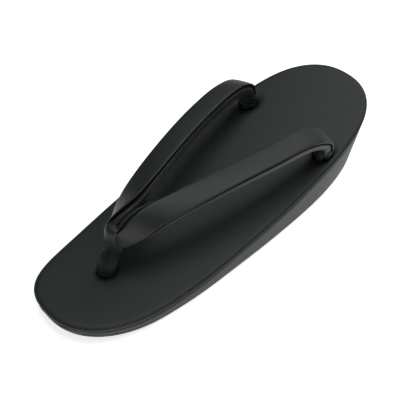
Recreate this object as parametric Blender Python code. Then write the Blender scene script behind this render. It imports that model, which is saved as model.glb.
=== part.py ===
"""Zori sandal for the left foot, in metres, +Z up.

The toe points to -Y and the heel to +Y, the wearer's outer side is +X, and the origin is on the floor
under the middle of the footprint. The sole is a stack of three slabs that share one outline and one side
profile: outsole, platform and insole. The strap is one band, swept from the inner rear hole round the
nose to the outer rear hole. The toe thong loops over the nose and goes down into the front hole.
"""

import bmesh
import bpy
from math import copysign, cos, pi, radians, sin
from mathutils import Vector

# Sole: overall sizes
LENGTH = 0.240
HALF_WIDTH = 0.0404
FRONT_HEIGHT = 0.0125
HEEL_HEIGHT = 0.0445
TOE_RISE = 0.0018
TOE_RISE_REACH_SHARE = 0.20
TOE_SPRING = 0.0060
TOE_SPRING_REACH_SHARE = 0.28
TOE_LEAN = 0.0058
TOE_LEAN_REACH_SHARE = 0.18
TOE_ROUNDNESS = 0.41
HEEL_ROUNDNESS = 0.44

# Sole: layers, from the floor up
OUTSOLE_THICKNESS = 0.0022
OUTSOLE_SET_IN = 0.0007
OUTSOLE_CHAMFER = 0.0004
INSOLE_THICKNESS = 0.0029
INSOLE_EDGE = 0.0030
INSOLE_CROWN = 0.0009
PLATFORM_EDGE = 0.0009
CLEARANCE = 0.0003

# Strap: one band, round the nose
BAND_WIDTH = 0.0122
COVER_THICKNESS = 0.0030
LINING_THICKNESS = 0.0060
SEAM_DEPTH = 0.0006
ARCH_HEIGHT = 0.0391
NOSE_SHIFT = -0.0024

# Strap holes and what goes into them
FRONT_HOLE_ALONG_SHARE = 0.155
FRONT_HOLE_SHIFT = -0.0034
FRONT_HOLE_DIAMETER = 0.0102
REAR_HOLE_ALONG_SHARE = 0.736
REAR_HOLE_OUT_SHARE = 0.743
REAR_HOLE_LENGTH = 0.0150
REAR_HOLE_WIDTH = 0.0118
REAR_HOLE_DEPTH = 0.0150
ROOT_STAND = 0.0024
ROOT_BOW = 0.50
ROOT_FOLDS = 6
ROOT_FOLD_DEPTH = 0.0006
LOOP_WIDTH = 0.0078
LOOP_THICKNESS = 0.0022
LOOP_SQUARENESS = 0.78
LOOP_BEND = 0.0060
LOOP_ROOM = 0.0004
LOOP_TAIL = 0.0044
LOOP_PINCH = 0.30
LOOP_REACH = 4
STEM_CURVE = 1.6

# How finely curved pieces are divided
OUTLINE_POINTS = 88
ACROSS = 6
BAND_STEPS = 3
LOOP_STEPS = 28
STEM_SIDES = 20
ROOT_SIDES = 24
HOLE_SIDES = 28
SHARP_ANGLE = 35

# Fullness of the outline on both sides, as shares of the half width, before the ends are rounded off
OUTLINE = (
    # along, full
    (0.00, 1.205),
    (0.10, 1.090),
    (0.20, 1.024),
    (0.30, 0.994),
    (0.40, 0.977),
    (0.50, 0.988),
    (0.60, 1.018),
    (0.70, 1.070),
    (0.80, 1.140),
    (0.90, 1.231),
    (1.00, 1.320),
)

# Rise of the top from the front height to the heel height
PROFILE = (
    # along, rise
    (0.00, 0.000),
    (0.20, 0.000),
    (0.30, 0.055),
    (0.40, 0.155),
    (0.50, 0.290),
    (0.60, 0.445),
    (0.70, 0.600),
    (0.80, 0.755),
    (0.90, 0.890),
    (1.00, 1.000),
)

# The outer arm from the nose to its rear end; the inner arm is its mirror image.
# along is a share of the length, out of the half width, lift of the arch height, wide of the band's
# width and thick of its thickness; tilt is how far its face leans outwards, in degrees.
ARM = (
    # along, out, lift, tilt, wide, thick
    (0.1770, 0.000, 0.690, 88, 0.88, 0.50),
    (0.1822, 0.095, 0.700, 86, 0.89, 0.54),
    (0.1970, 0.138, 0.755, 71, 0.93, 0.68),
    (0.2240, 0.170, 0.836, 48, 0.97, 0.86),
    (0.2600, 0.214, 0.888, 29, 1.00, 0.97),
    (0.3000, 0.281, 0.915, 19, 1.00, 1.00),
    (0.3500, 0.362, 0.936, 12, 1.00, 1.00),
    (0.4000, 0.437, 0.942, 8, 1.00, 1.00),
    (0.4500, 0.506, 0.932, 6, 1.00, 1.00),
    (0.5000, 0.572, 0.900, 5, 1.00, 1.00),
    (0.5450, 0.623, 0.860, 5, 1.00, 1.00),
    (0.5900, 0.666, 0.811, 6, 0.99, 1.00),
    (0.6300, 0.700, 0.744, 8, 0.98, 0.98),
    (0.6640, 0.731, 0.649, 10, 0.96, 0.95),
    (0.6920, 0.752, 0.532, 12, 0.94, 0.90),
    (0.7110, 0.762, 0.425, 14, 0.92, 0.86),
    (0.7215, 0.765, 0.300, 15, 0.90, 0.82),
    (0.7290, 0.765, 0.160, 15, 0.88, 0.78),
)

# Section of the band: across as a share of its half width, raised as a share of the cover's thickness
# above the seam, or of the lining's below it
SECTION = (
    # across, raised
    (0.955, 0.00),
    (1.000, 0.28),
    (0.960, 0.62),
    (0.780, 0.85),
    (0.440, 0.97),
    (0.000, 1.00),
    (-0.440, 0.97),
    (-0.780, 0.85),
    (-0.960, 0.62),
    (-1.000, 0.28),
    (-0.955, 0.00),
    (-1.000, -0.30),
    (-0.950, -0.68),
    (-0.680, -0.95),
    (0.000, -1.00),
    (0.680, -0.95),
    (0.950, -0.68),
    (1.000, -0.30),
)

# Gathered root of the strap, from the band's end down into the rear hole. down is the share of the way
# to the hole, wide a share of the hole's length and thick a share of its width.
ROOT = (
    # down, wide, thick
    (0.00, 0.70, 0.50),
    (0.20, 0.86, 0.72),
    (0.45, 0.98, 0.92),
    (0.72, 1.00, 1.00),
    (0.92, 0.93, 0.91),
    (1.00, 0.88, 0.86),
)

# Loop of the toe thong: aside is a share of its half width, raised of its thickness
LOOP_SECTION = (
    # aside, raised
    (-1.00, 0.30),
    (-0.90, 0.70),
    (-0.55, 0.95),
    (0.00, 1.00),
    (0.55, 0.95),
    (0.90, 0.70),
    (1.00, 0.30),
)

# Stem of the toe thong, from the floor of the front hole up to the loop. up is the share of the way,
# wide and thick are shares of the hole's diameter.
STEM = (
    # up, wide, thick
    (0.00, 0.90, 0.90),
    (0.24, 0.90, 0.90),
    (0.32, 0.92, 0.91),
    (0.42, 1.02, 0.98),
    (0.62, 1.03, 0.95),
    (0.72, 0.97, 0.88),
    (0.80, 0.82, 0.74),
    (1.00, 0.60, 0.50),
)

ALONG_X = Vector((1.0, 0.0, 0.0))
ALONG_Y = Vector((0.0, 1.0, 0.0))
UP = Vector((0.0, 0.0, 1.0))


def smooth(rows, column, at, key=0):
    """The table's column at a value of its key column, on one smooth curve through the rows."""
    at = min(max(at, rows[0][key]), rows[-1][key])
    i = 0
    while i < len(rows) - 2 and rows[i + 1][key] < at:
        i += 1
    before, first, last, after = rows[max(i - 1, 0)], rows[i], rows[i + 1], rows[min(i + 2, len(rows) - 1)]
    span = last[key] - first[key]
    s = (at - first[key]) / span
    start = (last[column] - before[column]) / (last[key] - before[key]) * span
    end = (after[column] - first[column]) / (after[key] - first[key]) * span
    return (
        (2 * s**3 - 3 * s**2 + 1) * first[column]
        + (s**3 - 2 * s**2 + s) * start
        + (3 * s**2 - 2 * s**3) * last[column]
        + (s**3 - s**2) * end
    )


def fade(share, reach):
    """1 at the toe, falling smoothly to 0 at the reach."""
    return max(0.0, 1.0 - share / reach) ** 2


def place_along(share):
    return (share - 0.5) * LENGTH


def share_at(y):
    return min(max(y / LENGTH + 0.5, 0.0), 1.0)


def top_height(y):
    """Height of the insole's edge line above the floor."""
    share = share_at(y)
    rise = FRONT_HEIGHT + (HEEL_HEIGHT - FRONT_HEIGHT) * smooth(PROFILE, 1, share)
    return rise + TOE_RISE * fade(share, TOE_RISE_REACH_SHARE)


def floor_height(y):
    """Height of the outsole's underside: the toe springs up from the floor."""
    return TOE_SPRING * fade(share_at(y), TOE_SPRING_REACH_SHARE)


def platform_top(y):
    return top_height(y) - INSOLE_THICKNESS - CLEARANCE


def platform_bottom(y):
    return floor_height(y) + OUTSOLE_THICKNESS + CLEARANCE


def outline_point(turn):
    """A point of the sole's outline: turn 0 is the toe tip, pi the heel, and the outer side lies between."""
    share = (1 - cos(turn)) / 2
    roundness = TOE_ROUNDNESS if share < 0.5 else HEEL_ROUNDNESS
    ends = max(4 * share * (1 - share), 0.0) ** roundness
    half = HALF_WIDTH * smooth(OUTLINE, 1, share) * ends
    side = 1 if sin(turn) >= 0 else -1
    return Vector((side * half - TOE_LEAN * fade(share, TOE_LEAN_REACH_SHARE), place_along(share)))


def outline_loop(inset):
    """The outline, moved inwards by the inset, as a loop of points that starts at the toe tip."""
    step = 2 * pi / OUTLINE_POINTS
    loop = []
    for i in range(OUTLINE_POINTS):
        here = outline_point(i * step)
        way = (outline_point((i + 0.5) * step) - outline_point((i - 0.5) * step)).normalized()
        loop.append(here + Vector((-way.y, way.x)) * inset)
    return loop


def new_object(name, mesh_maker, material):
    """An object of the mesh that the maker fills in."""
    mesh = bpy.data.meshes.new(name)
    bm = bmesh.new()
    mesh_maker(bm)
    bmesh.ops.recalc_face_normals(bm, faces=bm.faces)
    bm.to_mesh(mesh)
    bm.free()
    mesh.materials.append(material)
    obj = bpy.data.objects.new(name, mesh)
    bpy.context.scene.collection.objects.link(obj)
    mesh.shade_smooth()
    mesh.set_sharp_from_angle(angle=radians(SHARP_ANGLE))
    return obj


def bridge(bm, first, second):
    for i in range(len(first)):
        j = (i + 1) % len(first)
        bm.faces.new((first[i], first[j], second[j], second[i]))


def fill_across(bm, loop, height):
    """Closes a loop of the outline with rows of faces across it, each point at its own height."""
    half = len(loop) // 2
    rows = [[loop[0]]]
    for i in range(1, half):
        right, left = loop[i], loop[-i]
        middle = []
        for k in range(1, ACROSS):
            at = right.co.lerp(left.co, k / ACROSS)
            at.z = height(at.x, at.y, abs(2 * k / ACROSS - 1))
            middle.append(bm.verts.new(at))
        rows.append([right, *middle, left])
    rows.append([loop[half]])
    for row, following in zip(rows, rows[1:]):
        for k in range(ACROSS):
            corners = (
                row[min(k, len(row) - 1)],
                row[min(k + 1, len(row) - 1)],
                following[min(k + 1, len(following) - 1)],
                following[min(k, len(following) - 1)],
            )
            bm.faces.new(dict.fromkeys(corners))


def slab(name, layers, crown, material):
    """A layer of the sole. Each of its layers is an inset and a height over y, from the bottom up."""

    def make(bm):
        loops = []
        for inset, height in layers:
            loops.append([bm.verts.new((p.x, p.y, height(p.y))) for p in outline_loop(inset)])
        for first, second in zip(loops, loops[1:]):
            bridge(bm, first, second)
        bottom, top = layers[0][1], layers[-1][1]
        fill_across(bm, loops[0], lambda x, y, side: bottom(y))
        fill_across(bm, loops[-1], lambda x, y, side: top(y) + crown * (1 - side**2) * end_share(y))

    return new_object(name, make, material)


def end_share(y):
    """How much of the crown is left at y: it dies out towards the toe tip and the heel."""
    share = share_at(y)
    return min(1.0, 4 * share, 4 * (1 - share))


def sweep(bm, rings):
    """A solid through the rings, with its ends closed by faces."""
    made = [[bm.verts.new(point) for point in ring] for ring in rings]
    for first, second in zip(made, made[1:]):
        bridge(bm, first, second)
    bm.faces.new(made[0])
    bm.faces.new(reversed(made[-1]))


def arm_rows():
    """The arm's table as one run of rows, numbered from the inner rear end through the nose to the outer."""
    inner = [(row[0], -row[1], *row[2:]) for row in reversed(ARM[1:])]
    rows = inner + list(ARM)
    return [(i - len(inner), *row) for i, row in enumerate(rows)]


ARM_ROWS = arm_rows()


def band_place(at):
    """The band's centre at a row number, 0 at the nose and positive on the outer arm."""
    along, out, lift = (smooth(ARM_ROWS, column, at) for column in (1, 2, 3))
    y = place_along(along)
    shift = NOSE_SHIFT * max(0.0, 1 - abs(at) / len(ARM)) ** 2
    return Vector((out * HALF_WIDTH + shift, y, top_height(y) + lift * ARCH_HEIGHT))


def band_frame(at):
    """The band's centre, its direction across the width, the direction its face looks, and its sizes."""
    last = len(ARM) - 1
    ahead = band_place(min(at + 0.05, last)) - band_place(max(at - 0.05, -last))
    way = ahead.normalized()
    outward = way.cross(UP).normalized()
    upward = outward.cross(way)
    tilt = radians(smooth(ARM_ROWS, 4, at))
    face = upward * cos(tilt) + outward * sin(tilt)
    across = outward * cos(tilt) - upward * sin(tilt)
    return band_place(at), across, face, smooth(ARM_ROWS, 5, at), smooth(ARM_ROWS, 6, at)


def band_ring(at, room=0.0):
    """The band's section at a row number, or the section of the space that it needs with room all round."""
    centre, across, face, wide, thick = band_frame(at)
    ring = []
    for share_across, raised in SECTION:
        depth = (COVER_THICKNESS if raised > 0 else LINING_THICKNESS) * thick
        out = room if room or raised else -SEAM_DEPTH
        x = share_across * BAND_WIDTH / 2 * wide + out * copysign(1.0, share_across)
        z = raised * depth + (copysign(room, raised) if raised else 0.0)
        ring.append(centre + across * x + face * z)
    return ring


def band_stops(first, last):
    steps = round((last - first) * BAND_STEPS)
    return [first + (last - first) * i / steps for i in range(steps + 1)]


def straps(material):
    end = len(ARM) - 1
    rings = [band_ring(at) for at in band_stops(-end, end)]
    return new_object("straps", lambda bm: sweep(bm, rings), material)


def rear_hole(side):
    """The middle of a rear hole's mouth; side is 1 on the outer side and -1 on the inner."""
    y = place_along(REAR_HOLE_ALONG_SHARE)
    return Vector((side * REAR_HOLE_OUT_SHARE * HALF_WIDTH, y, top_height(y)))


def front_hole():
    y = place_along(FRONT_HOLE_ALONG_SHARE)
    return Vector((FRONT_HOLE_SHIFT, y, top_height(y)))


def oval_ring(centre, across, over, wide, thick, sides, folds=0):
    """An oval of points round a centre, with folds raised on it."""
    ring = []
    for i in range(sides):
        turn = 2 * pi * i / sides
        fold = ROOT_FOLD_DEPTH * cos(folds * turn) if folds else 0.0
        ring.append(centre + across * (wide / 2 + fold) * cos(turn) + over * (thick / 2 + fold) * sin(turn))
    return ring


def strap_root(name, side, material):
    """The gathered end of the strap, from the band's end face down to the bottom of its hole."""
    end = side * (len(ARM) - 1)
    centre, across, face, _, _ = band_frame(end)
    out_of_band = (centre - band_place(end - side * 0.1)).normalized()
    start = centre + out_of_band * CLEARANCE
    mouth = rear_hole(side) + UP * ROOT_STAND
    rings = []
    for down, wide, thick in ROOT:
        bow = out_of_band * ROOT_BOW * (start - mouth).length * down * (1 - down)
        middle = start.lerp(mouth, down) + bow
        normal = out_of_band.lerp(-UP, down).normalized()
        over = normal.cross(across.lerp(-ALONG_Y, down)).normalized()
        width, depth = wide * REAR_HOLE_LENGTH, thick * REAR_HOLE_WIDTH
        rings.append(oval_ring(middle, over.cross(normal), over, width, depth, ROOT_SIDES, ROOT_FOLDS))
    sunk = -UP * (ROOT_STAND + REAR_HOLE_DEPTH - CLEARANCE)
    rings.append([point + sunk for point in rings[-1]])
    return new_object(name, lambda bm: sweep(bm, rings), material)


def toe_loop(material):
    """The thong's loop, a sleeve round the nose with a pinched tail, cut through by the room for the band."""
    centre, across, face, wide, thick = band_frame(0)
    middle = centre + face * (COVER_THICKNESS - LINING_THICKNESS) * thick / 2
    side = across.cross(face).normalized()
    rings = []
    for aside, raised in LOOP_SECTION:
        reach = aside * LOOP_WIDTH / 2
        here = middle + side * reach - face * reach**2 / (2 * LOOP_BEND)
        grown = LOOP_ROOM + LOOP_THICKNESS * raised
        half_height = BAND_WIDTH * wide / 2 + grown
        half_depth = (COVER_THICKNESS + LINING_THICKNESS) * thick / 2 + grown
        ring = []
        for i in range(LOOP_STEPS):
            turn = 2 * pi * i / LOOP_STEPS
            high, deep = (copysign(abs(part) ** LOOP_SQUARENESS, part) for part in (cos(turn), sin(turn)))
            low = max(0.0, high) ** 2
            down = half_height * high + LOOP_TAIL * low
            ring.append(here + across * down + face * half_depth * deep * (1 - LOOP_PINCH * low))
        rings.append(ring)
    return new_object("toe_thong", lambda bm: sweep(bm, rings), material)


def toe_stem(material):
    """The thong's stem, from the outsole up through the front hole to the loop."""
    mouth = front_hole()
    foot = Vector((mouth.x, mouth.y, platform_bottom(mouth.y - FRONT_HOLE_DIAMETER / 2)))
    centre, across, _, wide, _ = band_frame(0)
    head = centre + across * (BAND_WIDTH * wide / 2 + LOOP_ROOM + LOOP_THICKNESS / 2)
    sunk = (mouth.z - foot.z) / (head.z - foot.z)
    rings = []
    for up, wide, thick in STEM:
        bend = max(0.0, (up - sunk) / (1 - sunk))
        middle = foot.lerp(head, up)
        middle.x = mouth.x + (head.x - mouth.x) * bend
        middle.y = mouth.y + (head.y - mouth.y) * bend**STEM_CURVE
        width, depth = wide * FRONT_HOLE_DIAMETER, thick * FRONT_HOLE_DIAMETER
        rings.append(oval_ring(middle, ALONG_X, ALONG_Y, width, depth, STEM_SIDES))
    return new_object("stem", lambda bm: sweep(bm, rings), material)


def helper(obj):
    """Keeps a cutter or guide out of the finished part."""
    obj.hide_render = True
    obj.display_type = "WIRE"
    return obj


def hole_cutter(name, mouth, width, length, bottom, material):
    """A cutter that stands in a strap hole, from the given height to well over the insole."""
    rings = [
        oval_ring(Vector((mouth.x, mouth.y, z)), ALONG_X, ALONG_Y, width, length, HOLE_SIDES)
        for z in (bottom, mouth.z + length)
    ]
    return helper(new_object(name, lambda bm: sweep(bm, rings), material))


def combine(obj, other, operation):
    modifier = obj.modifiers.new(other.name, "BOOLEAN")
    modifier.operation = operation
    modifier.object = other


def material(name, colour, roughness):
    made = bpy.data.materials.new(name)
    made.use_nodes = True
    shader = made.node_tree.nodes["Principled BSDF"]
    shader.inputs["Base Color"].default_value = (*colour, 1.0)
    shader.inputs["Roughness"].default_value = roughness
    shader.inputs["Metallic"].default_value = 0.0
    return made


def sole(leather, rubber):
    """The three layers of the sole, with their strap holes still to be cut."""
    outsole = slab(
        "outsole",
        (
            (OUTSOLE_SET_IN + OUTSOLE_CHAMFER, floor_height),
            (OUTSOLE_SET_IN, lambda y: floor_height(y) + OUTSOLE_CHAMFER),
            (OUTSOLE_SET_IN, lambda y: floor_height(y) + OUTSOLE_THICKNESS),
        ),
        0.0,
        rubber,
    )
    platform = slab(
        "platform",
        (
            (PLATFORM_EDGE, platform_bottom),
            (PLATFORM_EDGE * 0.3, lambda y: platform_bottom(y) + PLATFORM_EDGE * 0.35),
            (0.0, lambda y: platform_bottom(y) + PLATFORM_EDGE),
            (0.0, lambda y: platform_top(y) - PLATFORM_EDGE),
            (PLATFORM_EDGE * 0.3, lambda y: platform_top(y) - PLATFORM_EDGE * 0.35),
            (PLATFORM_EDGE, platform_top),
        ),
        0.0,
        leather,
    )
    edge, thickness = INSOLE_EDGE, INSOLE_THICKNESS

    def insole_at(share):
        return lambda y: top_height(y) - thickness * (1 - share)

    insole = slab(
        "insole",
        (
            (edge * 0.30, insole_at(0.0)),
            (edge * 0.06, insole_at(0.12)),
            (0.0, insole_at(0.32)),
            (edge * 0.06, insole_at(0.56)),
            (edge * 0.28, insole_at(0.80)),
            (edge * 0.62, insole_at(0.94)),
            (edge, insole_at(1.0)),
            (edge * 2.6, lambda y: top_height(y) + INSOLE_CROWN * 0.25),
        ),
        INSOLE_CROWN,
        leather,
    )
    return outsole, platform, insole


def cut_holes(platform, insole, leather):
    mouth = front_hole()
    cutters = [hole_cutter("front_hole", mouth, FRONT_HOLE_DIAMETER, FRONT_HOLE_DIAMETER, 0.0, leather)]
    for name, side in (("rear_hole_outer", 1), ("rear_hole_inner", -1)):
        mouth = rear_hole(side)
        bottom = mouth.z - REAR_HOLE_DEPTH
        cutters.append(hole_cutter(name, mouth, REAR_HOLE_WIDTH, REAR_HOLE_LENGTH, bottom, leather))
    for cutter in cutters:
        combine(platform, cutter, "DIFFERENCE")
        combine(insole, cutter, "DIFFERENCE")


def toe_thong(cloth):
    """Loop and stem joined, with room cut for the band."""
    thong = toe_loop(cloth)
    stem = helper(toe_stem(cloth))
    rings = [band_ring(at, LOOP_ROOM) for at in band_stops(-LOOP_REACH, LOOP_REACH)]
    room = helper(new_object("band_room", lambda bm: sweep(bm, rings), cloth))
    combine(thong, stem, "UNION")
    combine(thong, room, "DIFFERENCE")
    return thong


def main():
    for obj in list(bpy.data.objects):
        bpy.data.objects.remove(obj)
    leather = material("black_smooth_leather", (0.030, 0.033, 0.034), 0.45)
    cover = material("black_strap_leather", (0.034, 0.036, 0.037), 0.42)
    cloth = material("black_velvet", (0.016, 0.017, 0.019), 0.85)
    rubber = material("black_rubber", (0.022, 0.022, 0.022), 0.70)
    _, platform, insole = sole(leather, rubber)
    cut_holes(platform, insole, leather)
    straps(cover)
    toe_thong(cloth)
    strap_root("strap_root_outer", 1, cloth)
    strap_root("strap_root_inner", -1, cloth)


main()
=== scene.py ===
"""Zori sandal for the left foot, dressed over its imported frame.

Everything is in metres with +Z up. The toe points to -Y and the heel to +Y, and the wearer's outer side
is +X. Each layer of the sole and each length of the strap is built where the frame's solids are.
"""

import logging
from collections.abc import Callable, Mapping, Sequence
from dataclasses import dataclass, field
from enum import Enum
from math import atan2, copysign, cos, exp, hypot, pi, radians, sin, sqrt

import bmesh
import bpy
from mathutils import Matrix, Quaternion, Vector, noise


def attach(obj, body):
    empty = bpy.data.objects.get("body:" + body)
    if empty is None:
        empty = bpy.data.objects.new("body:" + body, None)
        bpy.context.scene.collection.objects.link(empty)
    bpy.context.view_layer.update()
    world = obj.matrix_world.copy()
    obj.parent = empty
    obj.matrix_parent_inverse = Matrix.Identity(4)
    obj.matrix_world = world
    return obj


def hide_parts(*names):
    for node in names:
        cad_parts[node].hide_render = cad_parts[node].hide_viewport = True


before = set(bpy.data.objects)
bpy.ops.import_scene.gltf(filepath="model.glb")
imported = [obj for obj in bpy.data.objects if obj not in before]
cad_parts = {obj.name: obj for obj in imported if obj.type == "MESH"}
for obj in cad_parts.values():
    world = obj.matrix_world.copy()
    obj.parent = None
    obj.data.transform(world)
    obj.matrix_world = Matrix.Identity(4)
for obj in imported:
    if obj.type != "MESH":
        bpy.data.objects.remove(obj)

LOG = logging.getLogger("zori")
ALONG_X = Vector((1.0, 0.0, 0.0))
ALONG_Y = Vector((0.0, 1.0, 0.0))
UP = Vector((0.0, 0.0, 1.0))

Row = tuple[float, ...]
Rows = Sequence[Row]
Colour = tuple[float, float, float]


class Slot(Enum):
    """Material slots of the record."""

    LEATHER = "leather"
    STRAP = "strap_leather"
    VELVET = "velvet"
    RUBBER = "rubber"


class Foot(Enum):
    """Sides of the shoe, as the sign of x."""

    OUTER = 1
    INNER = -1


def smooth(rows: Rows, column: int, at: float) -> float:
    """Reads a table on one smooth curve through its rows.

    Args:
        rows: Rows in rising order of their first column.
        column: Column to read.
        at: Value of the first column.

    Returns:
        The column's value there.
    """
    at = min(max(at, rows[0][0]), rows[-1][0])
    i = 0
    while i < len(rows) - 2 and rows[i + 1][0] < at:
        i += 1
    before = rows[max(i - 1, 0)]
    first = rows[i]
    last = rows[i + 1]
    after = rows[min(i + 2, len(rows) - 1)]
    span = last[0] - first[0]
    s = (at - first[0]) / span
    start = (last[column] - before[column]) / (last[0] - before[0]) * span
    end = (after[column] - first[column]) / (after[0] - first[0]) * span
    return (
        (2 * s**3 - 3 * s**2 + 1) * first[column]
        + (s**3 - 2 * s**2 + s) * start
        + (3 * s**2 - 2 * s**3) * last[column]
        + (s**3 - s**2) * end
    )


def fade(share: float, reach: float) -> float:
    """Returns 1 at the toe, falling smoothly to 0 at the reach."""
    return max(0.0, 1.0 - share / reach) ** 2


def bell(value: float, width: float) -> float:
    """Returns a bell curve, 1 where the value is 0."""
    return exp(-((value / width) ** 2))


def uneven(first: float, second: float, layer: float) -> float:
    """Returns smooth noise over two numbers, about -1 to 1, with a pattern of its own in each layer."""
    return noise.noise(Vector((first, second, layer)))


# Shader and node helpers


class Signal:
    """A shader socket that takes part in Python expressions."""

    def __init__(self, maker: "NodeMaker", socket: bpy.types.NodeSocket) -> None:
        """Wraps a socket.

        Args:
            maker: Maker of the tree that the socket belongs to.
            socket: Output socket.
        """
        self.maker = maker
        self.socket = socket

    def _maths(self, operation: str, first: object, second: object = 0.0, clamp: bool = False) -> "Signal":
        """Adds a Math node.

        Args:
            operation: The node's operation.
            first: First value or signal.
            second: Second value or signal.
            clamp: Whether the result is kept between 0 and 1.

        Returns:
            The node's result.
        """
        node = self.maker.node(
            "ShaderNodeMath", {"operation": operation, "use_clamp": clamp}, {0: first, 1: second}
        )
        return Signal(self.maker, node.outputs[0])

    def __add__(self, other: object) -> "Signal":
        """Returns the sum."""
        return self._maths("ADD", self, other)

    __radd__ = __add__

    def __sub__(self, other: object) -> "Signal":
        """Returns the difference."""
        return self._maths("SUBTRACT", self, other)

    def __rsub__(self, other: object) -> "Signal":
        """Returns the difference the other way round."""
        return self._maths("SUBTRACT", other, self)

    def __mul__(self, other: object) -> "Signal":
        """Returns the product."""
        return self._maths("MULTIPLY", self, other)

    __rmul__ = __mul__

    def clamped(self) -> "Signal":
        """Returns the signal kept between 0 and 1."""
        return self._maths("ADD", self, 0.0, clamp=True)


class NodeMaker:
    """Adds nodes to one tree, for a material or for Geometry Nodes."""

    def __init__(self, tree: bpy.types.NodeTree) -> None:
        """Takes the tree that the nodes go into."""
        self.tree = tree

    def node(
        self,
        kind: str,
        settings: Mapping[str, object] | None = None,
        values: Mapping[int | str, object] | None = None,
    ) -> bpy.types.Node:
        """Adds a node.

        Args:
            kind: The node's type.
            settings: Properties of the node, set first; stops gives a ramp's places and greys.
            values: Values, signals or sockets for its inputs, by name or number.

        Returns:
            The node.
        """
        made = self.tree.nodes.new(kind)
        for name, value in (settings or {}).items():
            if name == "stops":
                self._set_stops(made, value)
            else:
                setattr(made, name, value)
        for name, value in (values or {}).items():
            socket = made.inputs[name]
            if isinstance(value, Signal):
                self.tree.links.new(value.socket, socket)
            elif isinstance(value, bpy.types.NodeSocket):
                self.tree.links.new(value, socket)
            else:
                socket.default_value = value
        return made

    def _set_stops(self, ramp: bpy.types.Node, stops: Sequence[tuple[float, float]]) -> None:
        """Sets a colour ramp's stops.

        Args:
            ramp: Colour ramp node.
            stops: Place and grey of each stop, in rising order.
        """
        elements = ramp.color_ramp.elements
        while len(elements) < len(stops):
            elements.new(0.5)
        for element, (place, grey) in zip(elements, stops):
            element.position = place
            element.color = (grey, grey, grey, 1.0)

    def signal(self, node: bpy.types.Node, output: int | str = 0) -> Signal:
        """Returns a node's output as a signal."""
        return Signal(self, node.outputs[output])

    def mark(self, name: str) -> Signal:
        """Returns a number that the mesh's points carry."""
        return self.signal(self.node("ShaderNodeAttribute", {"attribute_name": name}), "Fac")

    def mix_colours(self, amount: object, first: object, second: object) -> bpy.types.NodeSocket:
        """Mixes two colours.

        Args:
            amount: Share of the second colour.
            first: First colour or socket.
            second: Second colour or socket.

        Returns:
            The mixed colour's socket.
        """
        node = self.node("ShaderNodeMix", {"data_type": "RGBA"}, {0: amount, 6: first, 7: second})
        return node.outputs[2]


@dataclass(frozen=True)
class Grain:
    """A fine pattern in Object coordinates: cells or hairs per metre, and how deep they go."""

    per_metre: float
    depth: float


@dataclass(frozen=True)
class Finish:
    """What every finish of the sandal has.

    The tone is the colour in the main, the light tone is where it is worn or where a highlight is painted on,
    and mottling is how much the two change places over the surface.
    """

    name: str
    tone: Colour
    light_tone: Colour
    roughness: float
    grain: Grain
    mottling: float = 0.25
    patch_per_metre: float = 26.0

    def _start(self) -> tuple[bpy.types.Material, NodeMaker, bpy.types.Node, bpy.types.NodeSocket]:
        """Makes the empty material.

        Returns:
            The material, its node maker, its shader and its Object coordinates.
        """
        made = bpy.data.materials.new(self.name)
        made.use_nodes = True
        maker = NodeMaker(made.node_tree)
        shader = made.node_tree.nodes["Principled BSDF"]
        place = maker.node("ShaderNodeTexCoord").outputs["Object"]
        return made, maker, shader, place

    def _patches(self, maker: NodeMaker, place: bpy.types.NodeSocket) -> Signal:
        """Makes soft patches of lighter and darker finish.

        Args:
            maker: The material's node maker.
            place: Object coordinates.

        Returns:
            The patches, about 0 to 1.
        """
        values = {"Vector": place, "Scale": self.patch_per_metre, "Detail": 3.0, "Roughness": 0.55}
        cloud = maker.signal(maker.node("ShaderNodeTexNoise", None, values))
        ramp = maker.node("ShaderNodeValToRGB", {"stops": ((0.32, 0.0), (0.70, 1.0))}, {"Fac": cloud})
        return maker.signal(ramp)

    def _toned(self, maker: NodeMaker, amount: Signal) -> bpy.types.NodeSocket:
        """Returns the colour, from the tone at an amount of 0 to the light tone at 1."""
        return maker.mix_colours(amount.clamped(), (*self.tone, 1.0), (*self.light_tone, 1.0))

    def _join(
        self,
        maker: NodeMaker,
        shader: bpy.types.Node,
        tone: bpy.types.NodeSocket,
        roughness: Signal,
        height: Signal,
    ) -> None:
        """Gives the shader its colour, its roughness and its bump.

        Args:
            maker: The material's node maker.
            shader: The principled shader.
            tone: Colour over the surface.
            roughness: Roughness over the surface.
            height: Height of the pattern, about 0 to 1.
        """
        values = {"Height": height, "Distance": self.grain.depth, "Strength": 1.0}
        bump = maker.node("ShaderNodeBump", None, values)
        sockets = {"Base Color": tone, "Roughness": roughness.socket, "Normal": bump.outputs[0]}
        for label, socket in sockets.items():
            maker.tree.links.new(socket, shader.inputs[label])


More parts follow.
